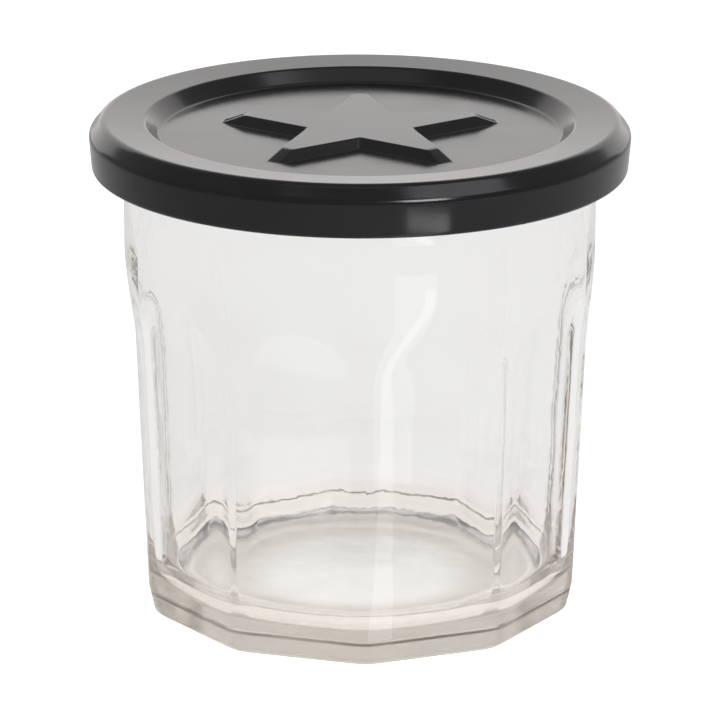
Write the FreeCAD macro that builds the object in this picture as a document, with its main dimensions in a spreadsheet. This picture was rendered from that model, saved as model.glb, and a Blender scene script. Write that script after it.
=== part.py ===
# Faceted jam jar with a push-on lid, in millimetres.
#
# jar  one piece of pressed glass: ten flat panels with arched tops below a round neck, a flared
#      rim with a bead, a thick base with a shallow hollow under it, and a round cavity.
# lid  one piece of moulded plastic: a sunk disc with a raised star inside a gently dished ring,
#      a bevel, a skirt, and a lip inside the skirt that snaps under the jar's bead.
#
# The jar stands on the origin and +Z is up. One point of the star looks along +Y.

import FreeCAD, Part
import math
import os
import Sketcher

# The driving sizes, in millimetres and degrees.
SIZES = {
    # the whole
    "total_height": 85.6,       # floor to the lid's top edge
    "seat_depth": 2.2,          # lid's top edge down to where it sits on the rim
    "neck_radius": 40.2,
    # jar, outside: heights go down from the rim, the flats in from the neck
    "bead_reach": 3.7,          # bead beyond the neck
    "bead_height": 4.9,         # rim down to the middle of the slope under the bead
    "bead_round": 1.8,
    "flare_round": 8.0,         # neck out into the slope under the bead
    "neck_height": 17.5,        # slope under the bead down to the tops of the arches
    "runout_height": 9.5,       # top of an arch down to where the panel is straight
    "runout_round": 30.0,
    "panel_count": 10,
    "panel_depth": 1.85,        # flat inside the neck's surface, at the lower end of the run-out
    "panel_taper": 1.75,        # flat comes in by this much more down to the heel
    "ridge_width": 2.1,         # rounded band left between two panels
    "heel_height": 4.9,
    "heel_inset": 1.1,          # and by this much more down to the floor
    "foot_round": 1.5,
    "foot_band": 2.5,           # flat band that the jar stands on, at the middle of a panel
    "hollow_depth": 0.9,        # shallow hollow inside that band
    "jar_turn": 2.1,            # the ridges stand this far round from the star's axis, degrees
    # jar, inside
    "neck_wall": 2.2,
    "panel_wall": 1.8,          # glass at the middle of a panel
    "base_thickness": 4.4,
    "floor_round": 8.0,         # cavity floor into its wall
    "shoulder_round": 15.0,
    "rim_round": 1.0,
    # lid, outside
    "lid_height": 8.8,          # skirt's lower edge to the lid's top edge
    "skirt_wall": 1.7,
    "skirt_draft": 0.5,         # radius lost from the bevel down to the skirt's edge
    "skirt_round": 0.7,
    "bevel_width": 2.2,
    "bevel_height": 2.6,
    "ring_fall": 0.6,           # the top ring dips this far to the recess
    "recess_depth": 2.4,
    "recess_run": 2.3,          # width of the recess's sloping wall
    # lid, inside
    "lid_wall": 1.4,
    "plug_gap": 0.8,            # underside of the recess to the jar's mouth, at the rim
    "bead_gap": 0.4,            # skirt to bead, all round
    "lip_reach": 0.9,           # snap lip inside the skirt
    "lip_slope": 0.7,
    "snap_gap": 0.5,            # lip below the bead
    "corner_cut": 1.2,          # slope inside the skirt's upper corner
    # star
    "star_radius": 24.2,        # the top outline's points, if they were sharp
    "star_tip": 20.5,           # where the top outline's points are cut off
    "star_foot_radius": 29.0,   # the same two for the outline on the recess floor
    "star_foot_tip": 24.5,
    "star_height": 1.6,
}
STAR_POINTS = 5
SHARP_STAR_RATIO = math.sin(math.radians(18)) / math.sin(math.radians(54))


class Size:
    """A number, with the expression that ties it to the sheet."""

    def __init__(self, number, text=None):
        self.number = number
        self.text = text or repr(number)

    def join(self, other, sign, number):
        return Size(number, f"({self.text} {sign} {other.text})")

    def __add__(self, other):
        other = as_size(other)
        return self.join(other, "+", self.number + other.number)

    def __sub__(self, other):
        other = as_size(other)
        return self.join(other, "-", self.number - other.number)

    def __mul__(self, other):
        other = as_size(other)
        return self.join(other, "*", self.number * other.number)

    def __truediv__(self, other):
        other = as_size(other)
        return self.join(other, "/", self.number / other.number)


def as_size(value):
    return value if isinstance(value, Size) else Size(value)


def root(size):
    return Size(math.sqrt(size.number), f"sqrt({size.text})")


def sine(degrees):
    return Size(math.sin(math.radians(degrees.number)), f"sin({degrees.text})")


def cosine(degrees):
    return Size(math.cos(math.radians(degrees.number)), f"cos({degrees.text})")


def make_sheet(doc):
    """Write the driving sizes into a sheet; return each as a Size that refers to its cell."""
    sheet = doc.addObject("Spreadsheet::Sheet", "Sizes")
    for row, (name, number) in enumerate(SIZES.items(), start=1):
        sheet.set(f"A{row}", name)
        sheet.set(f"B{row}", str(number))
        sheet.setAlias(f"B{row}", name)
    doc.recompute()
    return {name: Size(number, f"Sizes.{name}") for name, number in SIZES.items()}


def new_body(doc, name):
    body = doc.addObject("PartDesign::Body", name.capitalize() + "Body")
    body.Label = name
    return body


def origin_part(body, role):
    return next(part for part in body.Origin.OriginFeatures if part.Role == role)


def new_sketch(body, name, plane, height=None):
    """A sketch on one of the body's own planes, raised along that plane's normal by height."""
    sketch = body.newObject("Sketcher::SketchObject", name)
    sketch.AttachmentSupport = (origin_part(body, plane), "")
    sketch.MapMode = "FlatFace"
    if height is not None:
        sketch.setExpression(".AttachmentOffset.Base.z", height.text)
    return sketch


def pin(sketch, geometry, end, x, y):
    """Hold one end of a line, or a point, at (x, y)."""
    for size, kind, axis in ((x, "DistanceX", -2), (y, "DistanceY", -1)):
        if size.number == 0:
            sketch.addConstraint(Sketcher.Constraint("PointOnObject", geometry, end, axis))
        else:
            held = sketch.addConstraint(Sketcher.Constraint(kind, -1, 1, geometry, end, size.number))
            sketch.setExpression(f"Constraints[{held}]", size.text)


def corner_ends(before, here, after, radius):
    """Where a rounding of this radius leaves the two sides of the corner."""
    back = (before - here).normalize()
    ahead = (after - here).normalize()
    reach = radius / math.tan(back.getAngle(ahead) / 2)
    return here + back * reach, here + ahead * reach


def corner_arc(before, here, after, radius):
    """The rounding itself, and whether it runs the same way round as the outline."""
    start, finish = corner_ends(before, here, after, radius)
    middle = ((before - here).normalize() + (after - here).normalize()).normalize()
    centre = here + middle * math.hypot(radius, (start - here).Length)
    forwards = (here - before).cross(after - here).z > 0
    first, last = (start, finish) if forwards else (finish, start)
    angles = [math.atan2((spot - centre).y, (spot - centre).x) for spot in (first, last)]
    circle = Part.Circle(centre, FreeCAD.Vector(0, 0, 1), radius)
    return Part.ArcOfCircle(circle, angles[0], angles[1]), forwards


def draw_outline(sketch, corners):
    """Close a loop of lines through corners, each (x, y) or (x, y, rounding)."""
    corners = [tuple(as_size(value) for value in corner) for corner in corners]
    spots = [FreeCAD.Vector(corner[0].number, corner[1].number, 0) for corner in corners]
    count = len(corners)
    around = [(spots[i - 1], spots[i], spots[(i + 1) % count]) for i in range(count)]
    ends = [
        corner_ends(*around[i], corner[2].number) if len(corner) == 3 else (spots[i], spots[i])
        for i, corner in enumerate(corners)
    ]
    for i in range(count):
        sketch.addGeometry(Part.LineSegment(ends[i][1], ends[(i + 1) % count][0]))
    for i, corner in enumerate(corners):
        arriving = (i - 1) % count
        if len(corner) == 2:
            sketch.addConstraint(Sketcher.Constraint("Coincident", arriving, 2, i, 1))
            pin(sketch, i, 1, corner[0], corner[1])
            continue
        arc, forwards = corner_arc(*around[i], corner[2].number)
        rounding = sketch.addGeometry(arc)
        first, last = (1, 2) if forwards else (2, 1)
        sketch.addConstraint(Sketcher.Constraint("Tangent", arriving, 2, rounding, first))
        sketch.addConstraint(Sketcher.Constraint("Tangent", rounding, last, i, 1))
        held = sketch.addConstraint(Sketcher.Constraint("Radius", rounding, corner[2].number))
        sketch.setExpression(f"Constraints[{held}]", corner[2].text)
        tip = sketch.addGeometry(Part.Point(spots[i]), True)
        sketch.addConstraint(Sketcher.Constraint("PointOnObject", tip, 1, arriving))
        sketch.addConstraint(Sketcher.Constraint("PointOnObject", tip, 1, i))
        pin(sketch, tip, 1, corner[0], corner[1])


def spin(body, kind, name, corners):
    """Turn an outline, drawn as radius and height, once round the body's axis."""
    sketch = new_sketch(body, name + "Outline", "XZ_Plane")
    draw_outline(sketch, corners)
    feature = body.newObject("PartDesign::" + kind, name)
    feature.Profile = sketch
    feature.ReferenceAxis = (sketch, ["V_Axis"])
    feature.Angle = 360
    return feature


def ridge_radius(apothem, s):
    """Radius that leaves a band of ridge_width between two panels this far from the axis."""
    half_turn = Size(180) / s["panel_count"]
    half_flat = apothem * sine(half_turn) / cosine(half_turn) - s["ridge_width"] / 2
    return root(apothem * apothem + half_flat * half_flat)


def add_fits(s):
    """Add the sizes that follow from the driving ones and that several outlines share."""
    s["rim"] = s["total_height"] - s["seat_depth"]
    s["under_bead"] = s["rim"] - s["bead_height"]
    s["arch_height"] = s["under_bead"] - s["neck_height"]
    s["knee_height"] = s["arch_height"] - s["runout_height"]
    s["knee_apothem"] = s["neck_radius"] - s["panel_depth"]
    s["heel_apothem"] = s["knee_apothem"] - s["panel_taper"]
    s["foot_apothem"] = s["heel_apothem"] - s["heel_inset"]
    s["bead_radius"] = s["neck_radius"] + s["bead_reach"]
    s["mouth_radius"] = s["neck_radius"] - s["neck_wall"]


def jar_blank(body, s):
    """The outside of the jar before its panels are cut, solid glass."""
    half_slope = s["bead_reach"] / 2
    spin(body, "Revolution", "Blank", [
        (0, s["hollow_depth"]),
        (s["foot_apothem"] - s["foot_round"] - s["foot_band"], 0),
        (ridge_radius(s["foot_apothem"], s), 0, s["foot_round"]),
        (ridge_radius(s["heel_apothem"], s), s["heel_height"]),
        (s["neck_radius"], (s["knee_height"] + s["arch_height"]) / 2),
        (s["neck_radius"], s["under_bead"] - half_slope, s["flare_round"]),
        (s["bead_radius"], s["under_bead"] + half_slope),
        (s["bead_radius"], s["rim"], s["bead_round"]),
        (0, s["rim"]),
    ])


def cut_panels(body, s):
    """Cut one flat panel, with its heel below and its run-out above, and repeat it round the jar."""
    stretch = 1.3
    over_neck = s["knee_apothem"] + s["panel_depth"] * stretch
    over_arch = s["knee_height"] + s["runout_height"] * stretch
    clear = s["bead_radius"] + s["bead_reach"]
    inside = s["foot_apothem"] - s["foot_round"] * 2
    sketch = new_sketch(body, "PanelOutline", "XZ_Plane")
    draw_outline(sketch, [
        (inside, 0),
        (s["foot_apothem"], 0, s["foot_round"]),
        (s["heel_apothem"], s["heel_height"]),
        (s["knee_apothem"], s["knee_height"], s["runout_round"]),
        (over_neck, over_arch),
        (clear, over_arch),
        (clear, -1),
        (inside, -1),
    ])
    panel = body.newObject("PartDesign::Pocket", "Panel")
    panel.Profile = sketch
    panel.Type = "Length"
    panel.Midplane = True
    panel.setExpression("Length", (s["neck_radius"] * 2).text)
    panels = body.newObject("PartDesign::PolarPattern", "Panels")
    panels.Originals = [panel]
    panels.Axis = (origin_part(body, "Z_Axis"), [""])
    panels.Angle = 360
    panels.setExpression("Occurrences", s["panel_count"].text)
    body.Tip = panels


def cut_cavity(body, s):
    """Hollow the jar from its rim down to the thick base."""
    neck = s["mouth_radius"]
    rim = s["rim"]
    draft = s["panel_taper"] / (s["knee_height"] - s["heel_height"])
    floor_wall = s["heel_apothem"] - s["panel_wall"] + draft * (s["base_thickness"] - s["heel_height"])
    spin(body, "Groove", "Cavity", [
        (0, s["base_thickness"]),
        (floor_wall, s["base_thickness"], s["floor_round"]),
        (s["knee_apothem"] - s["panel_wall"], s["knee_height"], s["shoulder_round"]),
        (neck, s["arch_height"], s["shoulder_round"]),
        (neck, rim, s["rim_round"]),
        (neck + s["rim_round"] * 2, rim),
        (neck + s["rim_round"] * 2, rim + 1),
        (0, rim + 1),
    ])


def make_jar(doc, s):
    body = new_body(doc, "jar")
    jar_blank(body, s)
    cut_panels(body, s)
    cut_cavity(body, s)
    body.Placement.Rotation = FreeCAD.Rotation(FreeCAD.Vector(0, 0, 1), s["jar_turn"].number)
    body.setExpression(".Placement.Rotation.Angle", s["jar_turn"].text)
    return body


def lid_shell(body, s):
    """Everything of the lid but its star, as one turned outline."""
    top = s["total_height"]
    seat = s["rim"]
    edge = top - s["lid_height"]
    ring = top - s["ring_fall"]
    floor = ring - s["recess_depth"]
    slant = s["lid_wall"] / 2
    recess_radius = s["mouth_radius"] - s["plug_gap"] - slant
    floor_radius = recess_radius - s["recess_run"]
    bore = s["bead_radius"] + s["bead_gap"]
    lip = bore - s["lip_reach"]
    lip_top = s["under_bead"] + s["bead_reach"] / 2 - (s["bead_radius"] - lip) - s["snap_gap"]
    lid_radius = bore + s["skirt_wall"]
    spin(body, "Revolution", "Shell", [
        (0, floor),
        (floor_radius, floor),
        (recess_radius, ring),
        (lid_radius - s["bevel_width"], top),
        (lid_radius, top - s["bevel_height"]),
        (lid_radius - s["skirt_draft"], edge, s["skirt_round"]),
        (lip, edge),
        (lip, lip_top),
        (bore, lip_top + s["lip_slope"]),
        (bore, seat - s["corner_cut"]),
        (bore - s["corner_cut"], seat),
        (recess_radius + slant, seat),
        (floor_radius + slant, floor - s["lid_wall"]),
        (0, floor - s["lid_wall"]),
    ])
    return floor


def star_corners(radius, tip):
    """A five-pointed star, first point up, with its points cut off square at tip."""
    step = 360 / STAR_POINTS
    half_cut = (radius - tip) * math.tan(math.radians(18))
    corners = []
    for point in range(STAR_POINTS):
        out = math.radians(90 + step * point)
        valley = math.radians(90 + step * (point + 0.5))
        for side in (1, -1):
            corners.append((tip * math.cos(out) + half_cut * math.sin(out) * side,
                            tip * math.sin(out) - half_cut * math.cos(out) * side))
        corners.append((radius * SHARP_STAR_RATIO * math.cos(valley),
                        radius * SHARP_STAR_RATIO * math.sin(valley)))
    return corners


def lid_star(body, s, floor):
    """The raised star: sloping sides between the outline on the floor and a smaller one on top."""
    foot = new_sketch(body, "StarFoot", "XY_Plane", floor)
    draw_outline(foot, star_corners(s["star_foot_radius"], s["star_foot_tip"]))
    top = new_sketch(body, "StarTop", "XY_Plane", floor + s["star_height"])
    draw_outline(top, star_corners(s["star_radius"], s["star_tip"]))
    star = body.newObject("PartDesign::AdditiveLoft", "Star")
    star.Profile = foot
    star.Sections = [top]
    star.Ruled = True


def make_lid(doc, s):
    body = new_body(doc, "lid")
    floor = lid_shell(body, s)
    doc.recompute()
    lid_star(body, s, floor)
    return body


def check(doc, pieces):
    """Stop if anything in the document failed or a piece isn't one valid solid."""
    failed = [item.Name for item in doc.Objects if {"Invalid", "Error"} & set(item.State)]
    if failed:
        raise RuntimeError("failed: " + ", ".join(failed))
    for piece in pieces:
        shape = piece.Shape
        if shape.isNull() or not shape.isValid() or len(shape.Solids) != 1:
            raise RuntimeError(piece.Label + " is not one valid solid")
        print(f"{piece.Label}: {shape.Volume / 1000:.2f} cm3, box {shape.BoundBox}")


def main():
    doc = FreeCAD.newDocument("JamJar")
    s = make_sheet(doc)
    add_fits(s)
    pieces = [make_jar(doc, s), make_lid(doc, s)]
    doc.recompute()
    check(doc, pieces)
    os.makedirs("parts", exist_ok=True)
    for piece in pieces:
        piece.Shape.exportStep(f"parts/{piece.Label}.step")


main()
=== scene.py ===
import math

import bmesh
import bpy
from mathutils import Euler, Matrix, Vector, noise


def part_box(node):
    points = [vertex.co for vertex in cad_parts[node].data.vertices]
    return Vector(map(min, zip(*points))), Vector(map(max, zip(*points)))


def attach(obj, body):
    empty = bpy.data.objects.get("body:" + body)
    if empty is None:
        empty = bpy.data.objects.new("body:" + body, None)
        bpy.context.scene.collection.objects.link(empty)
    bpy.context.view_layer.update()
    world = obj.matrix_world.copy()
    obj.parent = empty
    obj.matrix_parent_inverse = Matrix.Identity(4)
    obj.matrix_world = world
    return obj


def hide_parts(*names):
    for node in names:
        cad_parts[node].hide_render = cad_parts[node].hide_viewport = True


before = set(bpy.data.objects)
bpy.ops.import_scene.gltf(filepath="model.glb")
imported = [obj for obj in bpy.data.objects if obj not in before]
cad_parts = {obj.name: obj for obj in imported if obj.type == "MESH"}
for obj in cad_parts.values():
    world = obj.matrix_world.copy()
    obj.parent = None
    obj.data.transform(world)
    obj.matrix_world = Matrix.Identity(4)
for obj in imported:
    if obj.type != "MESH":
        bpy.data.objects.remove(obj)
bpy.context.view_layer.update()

MM = 0.001
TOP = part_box("lid")[1][2] / MM
LID_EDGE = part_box("lid")[0][2] / MM
LID_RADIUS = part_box("lid")[1][0] / MM
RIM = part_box("jar")[1][2] / MM

# Jar, outside, in millimetres and degrees. Heights go down from the rim, flats in from the neck.
PANELS = 10
JAR_TURN = 2.1
NECK_RADIUS = 40.2
BEAD_REACH = 3.7
BEAD_HEIGHT = 4.9
NECK_HEIGHT = 17.5
RUNOUT = 9.5
PANEL_DEPTH = 1.85
PANEL_TAPER = 1.75
HEEL_INSET = 1.1
HEEL = 4.9
HEEL_SOFT = 1.6
FOOT_ROUND = 1.5
FOOT_BAND = 4
RIDGE_WIDTH = 2.1
RIDGE_SOFTNESS = 0.6
BEAD_RADIUS = NECK_RADIUS + BEAD_REACH
UNDER_BEAD = RIM - BEAD_HEIGHT
ARCH = UNDER_BEAD - NECK_HEIGHT
KNEE = ARCH - RUNOUT
KNEE_FLAT = NECK_RADIUS - PANEL_DEPTH
HEEL_FLAT = KNEE_FLAT - PANEL_TAPER
FOOT_FLAT = HEEL_FLAT - HEEL_INSET

# The mould's parting line round the heel, and a painted dark line of shade that runs just under it.
SEAM_HEIGHT = 4.3
SEAM_DEPTH = 0.08
SEAM_WIDTH = 0.45
# Height and fade of the painted shade line in the glass colour.
SHADE_LINE_HEIGHT = 4.1
SHADE_LINE_FADE = (0.1, 0.42)

# Jar, inside and under.
MOUTH_RADIUS = NECK_RADIUS - 2.2
KNEE_BORE = KNEE_FLAT - 1.8
FLOOR_BORE = HEEL_FLAT - 2.0
FLOOR = 4.4
FLOOR_ROUND = 8
FOLLOWS_FROM = 8.0
INSIDE_SOFTNESS = 3.5
INSIDE_FOLLOWS = 0.72
HOLLOW = 0.9
STIPPLE_FADE = (0.6, 1.6)

# How far the pressed glass waves, and how long its waves are.
OUTER_WAVES = (0.02, 14)
INNER_WAVES = (0.05, 11)

# Lid.
RING_FALL = 0.6
RECESS_DEPTH = 2.4
RECESS_TOP = 36.5
RECESS_FOOT = 34.2
BEVEL_ACROSS = 2.2
BEVEL_DROP = 2.6
SKIRT_TAPER = 0.5
LID_WALL = 1.4
WALL_SLANT = 0.7
BORE = BEAD_RADIUS + 0.4
BORE_CORNER = 1.2
LIP = BORE - 0.9
LIP_TOP = 79.35
LID_FLOOR = TOP - RING_FALL - RECESS_DEPTH

# The lid's star: how far its uncut points and its cut ones reach, at its foot and at its top.
STAR_POINTS = 5
HALF_POINT = math.pi / (2 * STAR_POINTS)
STAR_FOOT = (29.0, 24.5)
STAR_TOP = (24.2, 20.5)
STAR_HEIGHT = 1.6
STAR_SUNK = 0.5
STAR_LIFT = 0.004
STAR_CORNER = 0.5

WHITE = (1, 1, 1, 1)
BOUNCES = 32


# ---------------------------------------------------------------- outlines and skins


def soft_outline(corners, turn=9.0, edge=0.15, longest=3.0):
    """Points along (radius, height) corners; a third value rounds its corner to that radius."""
    runs = [[Vector(corners[0][:2])]]
    for before, here, after in zip(corners, corners[1:], corners[2:]):
        if len(here) == 2:
            runs.append([Vector(here)])
        else:
            runs.append(corner_arc(Vector(before[:2]), here, Vector(after[:2]), turn))
    runs.append([Vector(corners[-1][:2])])
    points = list(runs[0])
    for run in runs[1:]:
        points += bridge(points[-1], run[0], edge, longest)
        points += run
    return points


def corner_arc(before, here, after, turn):
    """Points round one corner, each a few degrees of turn from the last."""
    spot = Vector(here[:2])
    radius = here[2]
    back = (before - spot).normalized()
    ahead = (after - spot).normalized()
    half = back.angle(ahead) / 2
    centre = spot + (back + ahead).normalized() * (radius / math.sin(half))
    start = spot + back * (radius / math.tan(half)) - centre
    sweep = math.pi - 2 * half
    if back.cross(ahead) > 0:
        sweep = -sweep
    count = max(3, math.ceil(abs(math.degrees(sweep)) / turn))
    arc = []
    for step in range(count + 1):
        angle = sweep * step / count
        across = start.x * math.cos(angle) - start.y * math.sin(angle)
        up = start.x * math.sin(angle) + start.y * math.cos(angle)
        arc.append(centre + Vector((across, up)))
    return arc


def bridge(start, finish, edge, longest):
    """Points between two ends of a straight run, one close to each end so that it shades flat."""
    length = (finish - start).length
    if length < edge * 3:
        return []
    inner = length - 2 * edge
    count = max(1, math.ceil(inner / longest))
    places = [edge + inner * step / count for step in range(count + 1)]
    return [start.lerp(finish, place / length) for place in places]


def height_lookup(points):
    """The radius of a rising outline at any height; the level run at its start is left out."""
    level = points[0].y + 0.001
    points = [point for point in points[:-1] if point.y > level] + points[-1:]

    def radius_at(height):
        if height <= points[0].y:
            return points[0].x
        for low, high in zip(points, points[1:]):
            if low.y <= height <= high.y and high.y > low.y:
                return low.x + (high.x - low.x) * (height - low.y) / (high.y - low.y)
        return points[-1].x

    return radius_at


def skin(name, rings, first_pole, last_pole):
    """A closed mesh over rings of points that all have the same count, capped at its poles."""
    count = len(rings[0])
    points = [point for ring_points in rings for point in ring_points]
    faces = []
    for row in range(len(rings) - 1):
        low = row * count
        for step in range(count):
            after = (step + 1) % count
            faces.append((low + step, low + after, low + count + after, low + count + step))
    for pole, row, forwards in ((first_pole, 0, False), (last_pole, len(rings) - 1, True)):
        points.append(pole)
        for step in range(count):
            pair = (row * count + step, row * count + (step + 1) % count)
            faces.append((pair if forwards else pair[::-1]) + (len(points) - 1,))
    mesh = bpy.data.meshes.new(name)
    mesh.from_pydata([Vector(point) * MM for point in points], [], faces)
    mesh.validate()
    face_outwards(mesh)
    mesh.shade_smooth()
    piece = bpy.data.objects.new(name, mesh)
    bpy.context.scene.collection.objects.link(piece)
    return piece


def face_outwards(mesh):
    work = bmesh.new()
    work.from_mesh(mesh)
    bmesh.ops.recalc_face_normals(work, faces=work.faces)
    work.to_mesh(mesh)
    work.free()


def around(turn, radius):
    return radius * math.cos(turn), radius * math.sin(turn)


def ring(radius, height, turns):
    return [Vector((*around(turn, radius), height)) for turn in turns]


def turned(name, points, steps):
    """A closed lathe-turned mesh; the outline's first and last points are on the axis."""
    turns = [2 * math.pi * step / steps for step in range(steps)]
    rings = [ring(point.x, point.y, turns) for point in points[1:-1]]
    return skin(name, rings, (0, 0, points[0].y), (0, 0, points[-1].y))


# ---------------------------------------------------------------- jar


def ridge_radius(flat):
    """Radius of the rounded band that is left between two flats."""
    half_flat = flat * math.tan(math.pi / PANELS) - RIDGE_WIDTH / 2
    return math.hypot(flat, half_flat)


def soft_min(one, other, softness):
    """The smaller of two values, blended where they are nearly the same."""
    share = min(1.0, max(0.0, 0.5 + 0.5 * (other - one) / softness))
    return other + (one - other) * share - softness * share * (1 - share)


def panel_angles(steps):
    """Directions round the jar, closer together at the ridges; each with its offset from a flat."""
    angles = []
    half = math.pi / PANELS
    for panel in range(PANELS):
        middle = math.radians(JAR_TURN) + math.pi / 2 + half * (2 * panel + 1)
        for step in range(steps):
            place = -1 + 2 * step / steps
            bent = math.sin(place * math.pi / 2) * 0.7 + place * 0.3
            angles.append((middle + bent * half, bent * half))
    return angles


def wall_lookups():
    """The outside's radius by height: at a ridge before the flats are cut, and at a flat's middle."""
    blank = height_lookup(soft_outline([
        (0, 0),
        (ridge_radius(FOOT_FLAT), 0, FOOT_ROUND),
        (ridge_radius(HEEL_FLAT), HEEL, HEEL_SOFT),
        (NECK_RADIUS, (KNEE + ARCH) / 2, 40),
        (NECK_RADIUS, UNDER_BEAD),
    ], turn=4)[1:])
    past_arch = [(KNEE_FLAT + PANEL_DEPTH * share, KNEE + RUNOUT * share) for share in (1.3, 3.0)]
    flat = height_lookup(soft_outline([
        (0, 0),
        (FOOT_FLAT, 0, FOOT_ROUND),
        (HEEL_FLAT, HEEL, HEEL_SOFT),
        (KNEE_FLAT, KNEE, 30),
        *past_arch,
    ], turn=4)[1:])
    return blank, flat


def seam(height):
    """How deep the parting line's shallow groove is at a height."""
    return SEAM_DEPTH * math.exp(-(((height - SEAM_HEIGHT) / SEAM_WIDTH) ** 2))


def wall_heights():
    """Heights of the outer surface's rings, closer together where its outline turns."""
    heights = [FOOT_ROUND * (1 - math.cos(math.pi / 2 * step / 7)) for step in range(8)]
    heights += [2.1, 2.8, 3.3]
    heights += [3.45 + 0.13 * step for step in range(15)]
    heights += [5.6, 6.0, 6.5, 7.2, 8.0]
    for below, step in ((KNEE - 3, 1.6), (ARCH + 3, 0.6), (UNDER_BEAD - 8, 1.2)):
        while heights[-1] < below:
            heights.append(heights[-1] + step)
    return heights


def hollow_rings(turns):
    """The shallow hollow under the base, up to the flat band that the jar stands on."""
    rings = []
    for share in (0.2, 0.4, 0.6, 0.75, 0.86, 0.95, 1.0, 1.03):
        height = HOLLOW * (1 - soft_min(share, 1.0, 0.12))
        rings.append(ring((FOOT_FLAT - FOOT_BAND) * share, max(0.0, height), turns))
    return rings


def wall_ring(height, angles, blank, flat):
    """One ring of the outer surface, where the flats cut the round blank."""
    row = []
    for turn, lean in angles:
        radius = soft_min(blank(height), flat(height) / math.cos(lean), RIDGE_SOFTNESS)
        row.append(Vector((*around(turn, radius - seam(height)), height)))
    return row


def jar_rest(start_height):
    """The rest of the outline: bead, rim and cavity, down to the middle of its floor."""
    return soft_outline([
        (NECK_RADIUS, start_height + 1),
        (NECK_RADIUS, UNDER_BEAD - BEAD_REACH / 2, 8),
        (BEAD_RADIUS, UNDER_BEAD + BEAD_REACH / 2, 0.6),
        (BEAD_RADIUS, RIM, 1.8),
        (MOUTH_RADIUS, RIM, 1.0),
        (MOUTH_RADIUS, ARCH, 45),
        (KNEE_BORE, KNEE, 45),
        (FLOOR_BORE, FLOOR, FLOOR_ROUND),
        (0, FLOOR),
    ], turn=3.5, longest=2.4)


def wavy(point, depth, grain):
    """Pressed glass is never quite even: moves a point in or out by a slow, small wave."""
    outward = Vector((point.x, point.y, 0))
    if outward.length < 1:
        return point
    wave = noise.noise(point / grain) + 0.5 * noise.noise(point / grain * 2.3)
    return point + outward.normalized() * depth * wave


def inside_ring(point, angles, blank, flat):
    """One ring of the cavity, which follows the flats outside with well rounded corners."""
    height = max(point.y, FOLLOWS_FROM)
    middle = soft_min(blank(height), flat(height), INSIDE_SOFTNESS)
    share = min(1.0, point.x / FLOOR_BORE) ** 3
    row = []
    for turn, lean in angles:
        outside = soft_min(blank(height), flat(height) / math.cos(lean), INSIDE_SOFTNESS)
        radius = point.x + (outside - middle) * share * INSIDE_FOLLOWS
        row.append(Vector((*around(turn, radius), point.y)))
    return row


def make_jar():
    """The glass, from the middle of the base up the outside and down the inside to the floor."""
    angles = panel_angles(40)
    turns = [turn for turn, _ in angles]
    blank, flat = wall_lookups()
    heights = wall_heights()
    hollow = hollow_rings(turns)
    wall = [wall_ring(height, angles, blank, flat) for height in heights]
    band = [inner.lerp(outer, 0.7) for inner, outer in zip(hollow[-1], wall[0])]
    rings = [[wavy(point, *OUTER_WAVES) for point in row] for row in hollow + [band] + wall]
    inside = False
    for point in jar_rest(heights[-1])[:-1]:
        inside = inside or (point.x < MOUTH_RADIUS + 0.01 and point.y < RIM - 2)
        if inside:
            row = inside_ring(point, angles, blank, flat)
            rings.append([wavy(spot, *INNER_WAVES) for spot in row])
        else:
            rings.append(ring(point.x, point.y, turns))
    return skin("glass_jar", rings, (0, 0, HOLLOW), (0, 0, FLOOR))


# ---------------------------------------------------------------- lid


def make_lid_shell():
    """The lid without its star: over the top and down the skirt, then up under it."""
    outline = soft_outline([
        (0, LID_FLOOR),
        (RECESS_FOOT, LID_FLOOR, 1.0),
        (RECESS_TOP, TOP - RING_FALL, 0.9),
        (LID_RADIUS - BEVEL_ACROSS, TOP, 1.4),
        (LID_RADIUS, TOP - BEVEL_DROP, 1.6),
        (LID_RADIUS - SKIRT_TAPER, LID_EDGE, 0.8),
        (LIP, LID_EDGE, 0.25),
        (LIP, LIP_TOP, 0.2),
        (BORE, LIP_TOP + WALL_SLANT),
        (BORE, RIM - BORE_CORNER),
        (BORE - BORE_CORNER, RIM),
        (RECESS_TOP + WALL_SLANT, RIM),
        (RECESS_FOOT + WALL_SLANT, LID_FLOOR - LID_WALL),
        (0, LID_FLOOR - LID_WALL),
    ], turn=5, longest=5.0)
    return turned("lid_shell", outline, 360)


def star_ring(share, height):
    """The star's outline between its foot (0) and its top (1), and a little past either."""
    sharp = STAR_FOOT[0] + (STAR_TOP[0] - STAR_FOOT[0]) * share
    tip = STAR_FOOT[1] + (STAR_TOP[1] - STAR_FOOT[1]) * share
    inner = sharp * math.sin(HALF_POINT) / math.sin(3 * HALF_POINT)
    half_cut = (sharp - tip) * math.tan(HALF_POINT)
    points = []
    for arm in range(STAR_POINTS):
        out = math.pi / 2 + 2 * math.pi / STAR_POINTS * arm
        valley = out + math.pi / STAR_POINTS
        for side in (1, -1):
            across = Vector((math.sin(out), -math.cos(out))) * half_cut * side
            along = Vector((math.cos(out), math.sin(out))) * tip
            points.append((along + across).to_3d() + Vector((0, 0, height)))
        points.append(Vector((*around(valley, inner), height)))
    return points


def rounded_ring(points, radius, steps=4):
    """Rounds the corners of a flat outline seen from above."""
    result = []
    count = len(points)
    for index, here in enumerate(points):
        before = points[index - 1]
        after = points[(index + 1) % count]
        reach = min(radius, (before - here).length * 0.35, (after - here).length * 0.35)
        start = here + (before - here).normalized() * reach
        finish = here + (after - here).normalized() * reach
        for step in range(steps + 1):
            place = step / steps
            bend = start * (1 - place) ** 2 + here * 2 * place * (1 - place)
            result.append(bend + finish * place ** 2)
    return result


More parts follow.
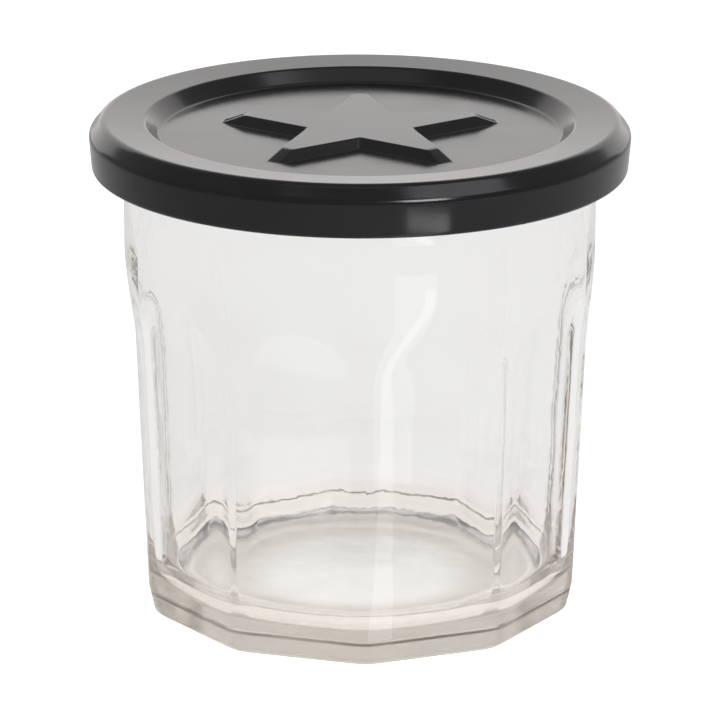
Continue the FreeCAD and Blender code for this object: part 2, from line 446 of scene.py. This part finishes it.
def make_star():
    """The raised star, with a fillet at its foot and a soft edge round its top."""
    run = (STAR_FOOT[0] - STAR_TOP[0]) * math.sin(HALF_POINT)
    side = soft_outline([
        (-0.9, LID_FLOOR - STAR_SUNK),
        (-0.9, LID_FLOOR + STAR_LIFT),
        (0, LID_FLOOR + STAR_LIFT, 0.35),
        (run, LID_FLOOR + STAR_HEIGHT, 0.45),
        (run + 2.5, LID_FLOOR + STAR_HEIGHT),
    ], turn=9, edge=0.1, longest=1.0)
    rings = [rounded_ring(star_ring(point.x / run, point.y), STAR_CORNER) for point in side]
    poles = [(0, 0, LID_FLOOR - STAR_SUNK), (0, 0, LID_FLOOR + STAR_HEIGHT)]
    star = skin("lid_star", rings, *poles)
    star.data.set_sharp_from_angle(angle=math.radians(40))
    return star


# ---------------------------------------------------------------- finishes


class Signal:
    """A socket that arithmetic adds Math nodes to."""

    def __init__(self, finish, socket):
        self.finish = finish
        self.socket = socket

    def join(self, operation, left, right):
        return self.finish.signal("Math", {"operation": operation}, {0: left, 1: right})

    def __add__(self, other):
        return self.join("ADD", self, other)

    __radd__ = __add__

    def __mul__(self, other):
        return self.join("MULTIPLY", self, other)

    __rmul__ = __mul__

    def __sub__(self, other):
        return self.join("SUBTRACT", self, other)

    def __rsub__(self, other):
        return self.join("SUBTRACT", other, self)

    def distance(self, place):
        return self.join("ABSOLUTE", self - place, 0.0)

    def or_else(self, other):
        return self.join("MAXIMUM", self, other)


class Finish:
    """The nodes of a material or a world, and the one way that they are made."""

    def __init__(self, owner, output="OutputMaterial"):
        owner.use_nodes = True
        self.owner = owner
        self.tree = owner.node_tree
        self.tree.nodes.clear()
        self.output = self.node(output)

    def node(self, kind, settings=None, sockets=None):
        made = self.tree.nodes.new("ShaderNode" + kind)
        for name, value in (settings or {}).items():
            if name == "stops":
                self.set_stops(made.color_ramp, value)
            else:
                setattr(made, name, value)
        for name, value in (sockets or {}).items():
            if isinstance(value, Signal):
                self.tree.links.new(value.socket, made.inputs[name])
            else:
                made.inputs[name].default_value = value
        return made

    def set_stops(self, ramp, stops):
        while len(ramp.elements) < len(stops):
            ramp.elements.new(0.5)
        for element, (place, colour) in zip(ramp.elements, stops):
            element.position = place
            element.color = (*colour, 1)

    def signal(self, kind, settings=None, sockets=None, output=0):
        return Signal(self, self.node(kind, settings, sockets).outputs[output])

    def place(self):
        return self.signal("TexCoord", output="Object")

    def clouds(self, place, scale, detail=2.0):
        return self.signal("TexNoise", sockets={"Vector": place, "Scale": scale, "Detail": detail})

    def bumps(self, height, strength, distance):
        sockets = {"Height": height, "Strength": strength, "Distance": distance}
        return self.signal("Bump", sockets=sockets)

    def ray(self, kind):
        return self.signal("LightPath", output=f"Is {kind} Ray")

    def fade(self, value, millimetres, start, end):
        """Goes smoothly from start to end between two lengths."""
        return self.signal("MapRange", {"interpolation_type": "SMOOTHSTEP"}, {
            "Value": value,
            "From Min": millimetres[0] * MM,
            "From Max": millimetres[1] * MM,
            "To Min": start,
            "To Max": end,
        })

    def choose(self, share, one, other):
        return self.signal("MixShader", sockets={0: share, 1: one, 2: other})

    def both(self, one, other):
        return self.signal("AddShader", sockets={0: one, 1: other})

    def show(self, shader, kind="Surface"):
        self.tree.links.new(shader.socket, self.output.inputs[kind])
        return self.owner


def new_material(name):
    return Finish(bpy.data.materials.new(name))


def clear_glass():
    """Clear pressed soda glass, faintly olive where it is thick; lamps shine through it."""
    finish = new_material("clear_pressed_glass")
    place = finish.place()
    height = finish.signal("SeparateXYZ", sockets={0: place}, output="Z")
    ripple = finish.clouds(place, 260.0)
    patchy = finish.clouds(place, 70.0)
    # Painted shade: a dark line round the heel, patchy along its length, mixed into the glass colour.
    painted_heel_shade = finish.fade(height.distance(SHADE_LINE_HEIGHT * MM), SHADE_LINE_FADE, 1.0, 0.0)
    glass_tint_and_painted_shade = finish.signal("Mix", {"data_type": "RGBA"}, {
        0: painted_heel_shade * (patchy + 0.45),
        6: (0.95, 0.95, 0.945, 1),
        7: (0.1, 0.09, 0.07, 1),
    }, 2)
    glass = finish.signal("BsdfPrincipled", sockets={
        "Base Color": glass_tint_and_painted_shade,
        "Roughness": finish.fade(height, STIPPLE_FADE, 0.2, 0.0),
        "IOR": 1.5,
        "Transmission Weight": 1.0,
        "Normal": finish.bumps(ripple, 0.05, 0.0004),
    })
    through = finish.signal("BsdfTransparent", sockets={"Color": (0.93, 0.93, 0.91, 1)})
    finish.show(finish.choose(finish.ray("Shadow"), glass, through))
    depth = finish.signal("VolumeAbsorption", sockets={
        "Color": (0.72, 0.65, 0.57, 1),
        "Density": 16.0,
    })
    return finish.show(depth, "Volume")


def black_plastic():
    """Black moulded plastic, glossy, with a fine mould grain and light handling marks."""
    finish = new_material("black_gloss_plastic")
    place = finish.place()
    grain = finish.clouds(place, 1400.0, 3.0)
    smears = finish.clouds(place, 60.0, 4.0)
    drawn = finish.signal("Mapping", sockets={"Vector": place, "Scale": (90, 90, 1500)})
    scuffs = finish.clouds(drawn, 1.0, 3.0)
    tone = finish.signal("ValToRGB", {"stops": [
        (0.35, (0.003, 0.003, 0.004)),
        (0.75, (0.008, 0.007, 0.008)),
    ]}, {"Fac": smears})
    plastic = finish.signal("BsdfPrincipled", sockets={
        "Base Color": tone,
        "Roughness": 0.06 + smears * 0.12 + scuffs * 0.1,
        "IOR": 1.4,
        "Normal": finish.bumps(grain, 0.06, 0.0001),
    })
    return finish.show(plastic)


def pale_floor():
    """Pale card: white to the eye and it takes the jar's shadow; through the glass it shows a painted
    pool of light under the jar, warm and dimmer round its edge.
    """
    finish = new_material("pale_floor")
    place = finish.place()
    fibre = finish.clouds(place, 300.0)
    tone = finish.signal("ValToRGB", {"stops": [
        (0.3, (0.79, 0.79, 0.79)),
        (0.7, (0.81, 0.81, 0.81)),
    ]}, {"Fac": fibre})
    card = finish.signal("BsdfDiffuse", sockets={"Color": tone})
    lift = finish.signal("Emission", sockets={"Color": WHITE, "Strength": 0.6})
    matt = finish.signal("BsdfDiffuse", sockets={"Color": (0.3, 0.3, 0.3, 1)})
    from_axis = finish.signal("VectorMath", {"operation": "LENGTH"}, {0: place}, "Value")
    # Painted light seen through the glass: a bright pool under the jar's middle, a dimmer warm ring
    # round it, then even grey.
    painted_caustic_ramp = finish.signal("ValToRGB", {"stops": [
        (0.15, (1.0, 1.0, 0.99)),
        (0.26, (0.62, 0.57, 0.5)),
        (0.4, (0.7, 0.67, 0.65)),
        (0.6, (0.7, 0.7, 0.7)),
    ]}, {"Fac": from_axis * 10})
    painted_caustic_glow = finish.signal("Emission", sockets={"Color": painted_caustic_ramp, "Strength": 1.0})
    to_eye = finish.choose(finish.ray("Camera"), card, finish.both(card, lift))
    under_glass = finish.both(matt, painted_caustic_glow)
    return finish.show(finish.choose(finish.ray("Transmission"), to_eye, under_glass))


# ---------------------------------------------------------------- studio


def make_floor():
    mesh = bpy.data.meshes.new("floor")
    half = 3.0
    corners = [(-half, -half, 0), (half, -half, 0), (half, half, 0), (-half, half, 0)]
    mesh.from_pydata(corners, [], [(0, 1, 2, 3)])
    floor = bpy.data.objects.new("floor", mesh)
    floor.data.materials.append(pale_floor())
    bpy.context.scene.collection.objects.link(floor)


def softbox(name, place, target, size, radiance, colour=(1, 1, 1)):
    """A rectangular lamp that faces target; radiance is how bright its face looks."""
    lamp = bpy.data.lights.new(name, "AREA")
    lamp.shape = "RECTANGLE"
    lamp.size, lamp.size_y = size
    lamp.color = colour
    lamp.energy = radiance * math.pi * size[0] * size[1]
    box = bpy.data.objects.new(name, lamp)
    box.location = place
    box.rotation_euler = (Vector(place) - Vector(target)).to_track_quat("Z", "Y").to_euler()
    box.visible_camera = False
    box.visible_transmission = False
    bpy.context.scene.collection.objects.link(box)


def make_lamps():
    """The lamps that light the jar, then small cards close to it for its highlights."""
    lid = (0, 0, 0.08)
    softbox("back_softbox", (0, 1.1, 0.43), lid, (2.2, 0.86), 1.15, (1.0, 0.95, 0.93))
    softbox("window", (0.35, -0.65, 0.52), (0, 0, 0.05), (0.25, 0.3), 15.0, (0.95, 0.96, 1.0))
    softbox("top_card", (0, -0.3, 1.1), lid, (0.9, 0.3), 0.45)
    softbox("ceiling_card", (0.55, -0.32, 0.95), lid, (0.55, 0.5), 2.0, (0.96, 0.94, 1.0))
    glints = [
        ("neck_glint", (23, -66, 39), (10, -39, 39), (18, 42), 0.95),
        ("skirt_glint", (23.6, -66.4, 67.4), (11.5, -44.5, 73.5), (15, 3.5), 3.4),
        ("ridge_glint", (30, -72, 22), (12, -50.5, 72), (8, 88), 1.3),
        ("panel_glint", (-42, -87, 9), (-11, -36, 30), (22, 12), 0.55),
    ]
    for name, *lengths, radiance in glints:
        place, target, size = [[value * MM for value in length] for length in lengths]
        softbox(name, place, target, size, radiance)


def make_world():
    """White to the eye and behind glass, and a dimmer even studio for what it lights."""
    studio = Finish(bpy.data.worlds.new("studio"), "OutputWorld")
    seen = studio.signal("Background", sockets={"Color": WHITE, "Strength": 1.0})
    fill = studio.signal("Background", sockets={"Color": WHITE, "Strength": 0.4})
    to_eye = studio.ray("Camera").or_else(studio.ray("Transmission"))
    bpy.context.scene.world = studio.show(studio.choose(to_eye, fill, seen))


def make_camera():
    """A long lens a little above the jar, looking down at it."""
    eye = bpy.data.cameras.new("camera")
    eye.sensor_width = 36
    eye.lens = 231.31
    eye.clip_start = 0.05
    eye.clip_end = 20
    camera = bpy.data.objects.new("camera", eye)
    camera.location = (0.0001, -0.7596, 0.2832)
    down = 17.61
    roll = 0.17
    tilt = Euler((math.radians(90 - down), 0, 0)).to_matrix()
    camera.rotation_euler = (tilt @ Matrix.Rotation(math.radians(roll), 3, "Z")).to_euler()
    bpy.context.scene.collection.objects.link(camera)
    bpy.context.scene.camera = camera


# ---------------------------------------------------------------- put together


def dress(piece, material, node):
    piece.data.materials.append(material)
    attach(piece, "root")
    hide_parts(node)


def main():
    make_camera()
    make_world()
    make_lamps()
    make_floor()
    plastic = black_plastic()
    dress(make_jar(), clear_glass(), "jar")
    dress(make_lid_shell(), plastic, "lid")
    dress(make_star(), plastic, "lid")
    scene = bpy.context.scene
    scene.view_settings.view_transform = "Standard"
    scene.cycles.max_bounces = BOUNCES
    scene.cycles.glossy_bounces = BOUNCES
    scene.cycles.transmission_bounces = BOUNCES


main()
